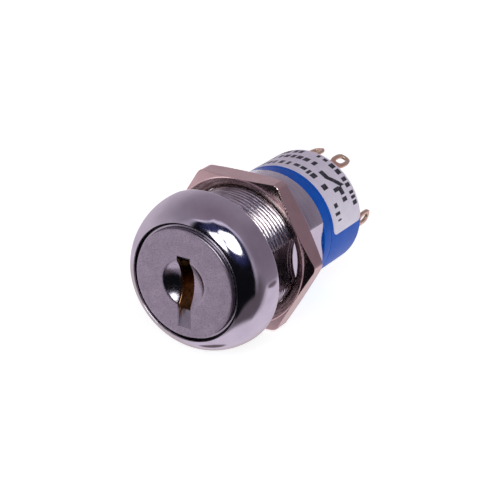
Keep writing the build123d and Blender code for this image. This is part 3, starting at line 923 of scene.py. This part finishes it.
def terminal(index, angle):
    """Stamped tag: rounded eye, straight neck, foot inside the case; edges eased."""
    outer, hole = tag_outline()
    count, sharp = len(outer), 50
    half, ease = TERMINAL_T / 2, 0.09
    levels = [(-half, ease), (-half + ease, 0.0), (half - ease, 0.0), (half, ease)]
    points, faces = [], []

    for path, sign in ((outer, 1), (hole, -1)):
        for z, inset in levels:
            for x, y in path:
                k = 1 - sign * inset / math.hypot(x, y - EYE_Y)
                points.append((x * k, EYE_Y + (y - EYE_Y) * k, z))
    for j in range(3):
        for i in range(count):
            n = (i + 1) % count
            a, b = j * count, (j + 1) * count
            faces.append((a + i, a + n, b + n, b + i))
            a, b = (4 + j) * count, (5 + j) * count
            faces.append((a + i, b + i, b + n, a + n))
    for i in range(count):
        n = (i + 1) % count
        faces.append((i, 4 * count + i, 4 * count + n, n))
        faces.append((3 * count + i, 3 * count + n, 7 * count + n, 7 * count + i))
    eye = new_piece(f"tag_{index}", points, faces, sharp)
    neck_top = EYE_Y - HOLE_L / 2 - 0.15
    neck = box_mesh("neck", (-NECK_W / 2, FOOT_FRONT, -half), (NECK_W / 2, neck_top, half))
    combine(eye, neck, "UNION", sharp)
    foot = box_mesh("foot", (-NECK_W / 2, FOOT_FRONT, FOOT_INNER_R - TERMINAL_R),
                    (NECK_W / 2, FOOT_FRONT + 0.5, half))
    combine(eye, foot, "UNION", sharp)
    s, c = math.sin(math.radians(angle)), math.cos(math.radians(angle))
    co = np.empty(len(eye.data.vertices) * 3)
    eye.data.vertices.foreach_get("co", co)
    co = co.reshape(-1, 3)
    x, y, z = co[:, 0], co[:, 1], co[:, 2] + TERMINAL_R * MM
    turned_co = np.stack([x * c + z * s, y, z * c - x * s], 1)
    eye.data.vertices.foreach_set("co", turned_co.ravel())
    eye.data.update()
    return finish_piece(eye, "housing", "terminal_plate", TERMINAL, f"terminal_{index}")


# ============================================================================================
# build
# ============================================================================================
SPRING_TURNS, SPRING_STEPS = 5, 36
WIRE_R, WIRE_SIDES = 0.1, 8


def pin_spring(number):
    """Coil over a driver pin, built at one fixed length."""
    node = f"pin_spring_{number}"
    low, high = node_box(node)
    middle_y, coil_r = (low.y + high.y) / 2, (high.x - low.x) / 2 - WIRE_R
    steps, sides = SPRING_TURNS * SPRING_STEPS, WIRE_SIDES
    bottom, top = low.z + WIRE_R * 1.1, high.z - WIRE_R * 1.1
    points, faces = [], []
    for k in range(steps + 1):
        a = TAU * SPRING_TURNS * k / steps
        z = bottom + (top - bottom) * k / steps
        for j in range(sides):
            b = TAU * j / sides
            r = coil_r + WIRE_R * math.cos(b)
            points.append((r * math.cos(a), middle_y + r * math.sin(a), z + WIRE_R * math.sin(b)))
    for k in range(steps):
        for j in range(sides):
            a, b = k * sides + j, k * sides + (j + 1) % sides
            faces.append((a, b, b + sides, a + sides))
    faces += [tuple(range(sides)), tuple(range(steps * sides, (steps + 1) * sides))]
    spring = new_piece(f"driver_spring_{number}", points, faces, 60)
    outward(spring)
    finish_piece(spring, "housing", "spring_steel", SPRING, node)
    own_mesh(spring)
    return spring


def paint_nodes():
    """Materials of the CAD nodes that stay as they are."""
    looks = {"key_plug": PLUG, "rating_label": LABEL, "rotor": BLACK, "terminal_base": BLACK,
             "spring_cover": BRASS, "stop_washer": SPRING, "plug_clip": SPRING,
             "drive_tail": SPRING}
    for name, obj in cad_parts.items():
        look = looks.get(name)
        if look is None:
            if name.startswith(("key_pin", "driver_pin")):
                look = PIN
            elif "spring" in name:
                look = SPRING
            elif name.startswith("bridge_contact"):
                look = CONTACT
        if look is not None:
            obj.data.materials.clear()
            obj.data.materials.append(look)


paint_nodes()
lock_housing()
hex_nut()
face_cap()
case_cover()
switch_case()
label_print()
potting_seal()
for number, tag_angle in enumerate(TAG_ANGLES, 1):
    terminal(number, tag_angle)
for number in range(1, 5):
    pin_spring(number)


# ============================================================================================
# floor, light, camera
# ============================================================================================
def floor():
    """Plain pale table under the switch."""
    half, z = 2500.0, HEAD_LOW.z - 0.02
    corners = [(-half, -half, z), (half, -half, z), (half, half, z), (-half, half, z)]
    obj = new_piece("floor", corners, [(0, 1, 2, 3)])
    n = Nodes("floor_paper")
    n.set(Emission_Strength=0.80, Emission_Color=(1.0, 1.0, 1.0, 1.0), Specular_IOR_Level=0.0)
    n.colour(n.mix(n.spread(n.noise(0.02, 3.0), 0.3, 0.7), (0.58, 0.61, 0.58), (0.56, 0.59, 0.56)))
    n.rough(n.spread(n.noise(0.5, 3.0), 0.3, 0.7, 0.85, 0.95))
    obj.data.materials.append(n.material)
    obj.visible_glossy = False


class Sky(Graph):
    """World light painted by direction: azimuth 0 towards -Y, 90 towards +X, in degrees."""

    def __init__(self):
        world = bpy.data.worlds.new("studio")
        world.use_nodes = True
        bpy.context.scene.world = world
        super().__init__(world.node_tree)
        self.background = self.tree.nodes["Background"]
        parts = self.add("ShaderNodeSeparateXYZ")
        self.link(self.add("ShaderNodeTexCoord").outputs["Generated"], parts.inputs[0])
        x, y, z = parts.outputs
        turn = self.math("ARCTAN2", x, self.math("MULTIPLY", y, -1.0))
        self.az = self.math("MULTIPLY", turn, 180 / math.pi)
        self.el = self.math("MULTIPLY", self.math("ARCSINE", z), 180 / math.pi)

    def step(self, value, low, high, to_low=0.0, to_high=1.0):
        return self.spread(value, low, high, to_low, to_high, "SMOOTHSTEP")

    def blob(self, centre, half, power=2.0, soft=0.1):
        """Mask of a rounded patch of directions: 1 inside half (azimuth, elevation) round
        centre, 0 outside; a higher power squares it off, soft is a share of its size."""
        across = self.math("WRAP", self.math("SUBTRACT", self.az, centre[0]), 180.0, -180.0)
        up = self.math("SUBTRACT", self.el, centre[1])
        terms = [self.math("POWER", self.math("ABSOLUTE", self.math("DIVIDE", off, size)), power)
                 for off, size in zip((across, up), half)]
        distance = self.math("POWER", self.math("ADD", *terms), 1.0 / power)
        return self.step(distance, 1.0 - soft, 1.0 + soft, 1.0, 0.0)

    def below(self, slope, level, soft=3.0):
        """Mask of the directions whose elevation is under level + slope * azimuth."""
        height = self.math("SUBTRACT", self.el, self.math("MULTIPLY", self.az, slope))
        return self.step(height, level - soft / 2, level + soft / 2, 1.0, 0.0)

    def product(self, *masks):
        total = masks[0]
        for mask in masks[1:]:
            total = self.math("MULTIPLY", total, mask)
        return total

    def inverse(self, mask):
        return self.math("SUBTRACT", 1.0, mask)

    def shine(self, colour):
        """The painted light, with a plain white backdrop where the world itself is looked at."""
        looked_at = self.add("ShaderNodeLightPath").outputs["Is Camera Ray"]
        self.link(self.mix(looked_at, colour, BACKDROP), self.background.inputs["Color"])
        self.background.inputs["Strength"].default_value = 1.0


TENT_TOP = (0.215, 0.165, 0.215)
TENT_SIDE = (0.270, 0.230, 0.290)
TENT_LEFT = (0.56, 0.49, 0.57)
TENT_FRONT = (0.60, 0.52, 0.62)
TENT_RIM = (0.66, 0.60, 0.76)
TABLE = (0.66, 0.58, 0.69)
TABLE_LEFT = (0.56, 0.49, 0.51)
TABLE_SHADE = (0.105, 0.085, 0.105)
SHADE_PATCH = (0.16, 0.12, 0.14)
WINDOW = (1.35, 1.33, 1.4)
TENT_RIGHT = (0.195, 0.155, 0.205)
OPENING = (0.004, 0.004, 0.006)
NAVY = (0.022, 0.025, 0.095)
LAMP = (3.5, 3.5, 3.65)
BACKDROP = (1.0, 1.0, 1.0)


def opening(sky, grow, soft):
    """Mask of the dark front of the light tent, grown by some degrees."""
    shape = sky.blob((27.0, 14.0), (54.5 + grow, 57.0 + grow), 4.5, soft)
    upper_left = sky.below(0.85, 67.0 + 1.3 * grow)
    lower_right = sky.inverse(sky.below(0.27, -46.0 - grow, 8.0))
    return sky.product(shape, upper_left, lower_right)


def studio_light():
    """Pale tent and table, a dark front opening with a bright rim, and one lamp in it."""
    sky = Sky()
    colour = sky.mix(sky.step(sky.el, 35.0, 85.0), TENT_SIDE, TENT_TOP)
    colour = sky.mix(sky.blob((-105.0, -8.0), (62.0, 36.0), 2.0, 0.6), colour, TENT_LEFT)
    colour = sky.mix(sky.blob((120.0, 22.0), (34.0, 34.0), 2.0, 0.5), colour, TENT_RIGHT)
    right_edge = sky.step(sky.az, 88.0, 112.0, -58.0, -15.0)
    left_edge = sky.step(sky.az, -80.0, -30.0, -15.0, -54.0)
    table_edge = sky.math("MAXIMUM", right_edge, left_edge)
    table = sky.step(sky.math("SUBTRACT", table_edge, sky.el), -3.0, 5.0)
    colour = sky.mix(table, colour, TABLE)
    colour = sky.mix(sky.blob((-105.0, -38.0), (70.0, 18.0), 3.0, 0.3), colour, TABLE_LEFT)
    colour = sky.mix(sky.blob((-45.0, -22.0), (26.0, 24.0), 2.0, 0.4), colour, TENT_FRONT)
    # Painted shade in the light: a dark band steeply below, towards the back left, where the table
    # lies in the switch's shadow, and a small dark patch low on the back right.
    colour = sky.mix(sky.blob((-112.0, -73.0), (38.0, 7.5), 2.5, 0.2), colour, SHADE_PATCH)
    colour = sky.mix(sky.blob((125.0, -18.0), (11.0, 2.6), 2.0, 0.3), colour, SHADE_PATCH)
    colour = sky.mix(sky.blob((-135.0, -14.0), (21.0, 11.0), 2.5, 0.2), colour, WINDOW)
    colour = sky.mix(sky.blob((48.0, -26.0), (58.0, 32.0), 2.5, 0.22), colour, TABLE_SHADE)
    rim = sky.product(opening(sky, 8.0, 0.06), sky.step(sky.el, 35.0, 58.0, 0.25, 1.0),
                      sky.step(sky.el, -25.0, 0.0), sky.step(sky.az, -50.0, -25.0, 0.35, 1.0))
    colour = sky.mix(rim, colour, TENT_RIM)
    colour = sky.mix(opening(sky, 0.0, 0.04), colour, OPENING)
    colour = sky.mix(sky.blob((32.0, 41.0), (46.0, 26.0), 3.0, 0.3), colour, NAVY)
    lamp = sky.math("MAXIMUM", sky.blob((6.0, 30.0), (12.0, 14.0), 3.0, 0.22),
                    sky.blob((43.0, 43.0), (25.0, 15.0), 3.5, 0.16))
    gap = sky.inverse(sky.math("MULTIPLY", sky.blob((24.0, 37.0), (4.5, 5.5), 2.0, 0.5), 0.88))
    colour = sky.mix(sky.product(lamp, gap, sky.below(0.85, 36.0, 5.0)), colour, LAMP)
    sky.shine(colour)


AZIMUTH, ELEVATION, DISTANCE = 32.646, 23.703, 234.52
AIM = (1.250, 8.735, -0.126)
FOCAL_MM, SENSOR_MM = 117.33, 36.0


def camera():
    """Camera at the photograph's angle, fitted to the outlines of head, nut and case."""
    data = bpy.data.cameras.new("camera")
    data.lens, data.sensor_width = FOCAL_MM, SENSOR_MM
    data.clip_start, data.clip_end = 0.01, 20.0
    obj = bpy.data.objects.new("camera", data)
    bpy.context.scene.collection.objects.link(obj)
    az, el = math.radians(AZIMUTH), math.radians(ELEVATION)
    back = Vector((math.sin(az) * math.cos(el), -math.cos(az) * math.cos(el), math.sin(el)))
    obj.location = (Vector(AIM) + back * DISTANCE) * MM
    obj.rotation_euler = back.to_track_quat("Z", "Y").to_euler()
    bpy.context.scene.camera = obj


floor()
studio_light()
camera()
bpy.context.scene.view_settings.view_transform = "Standard"
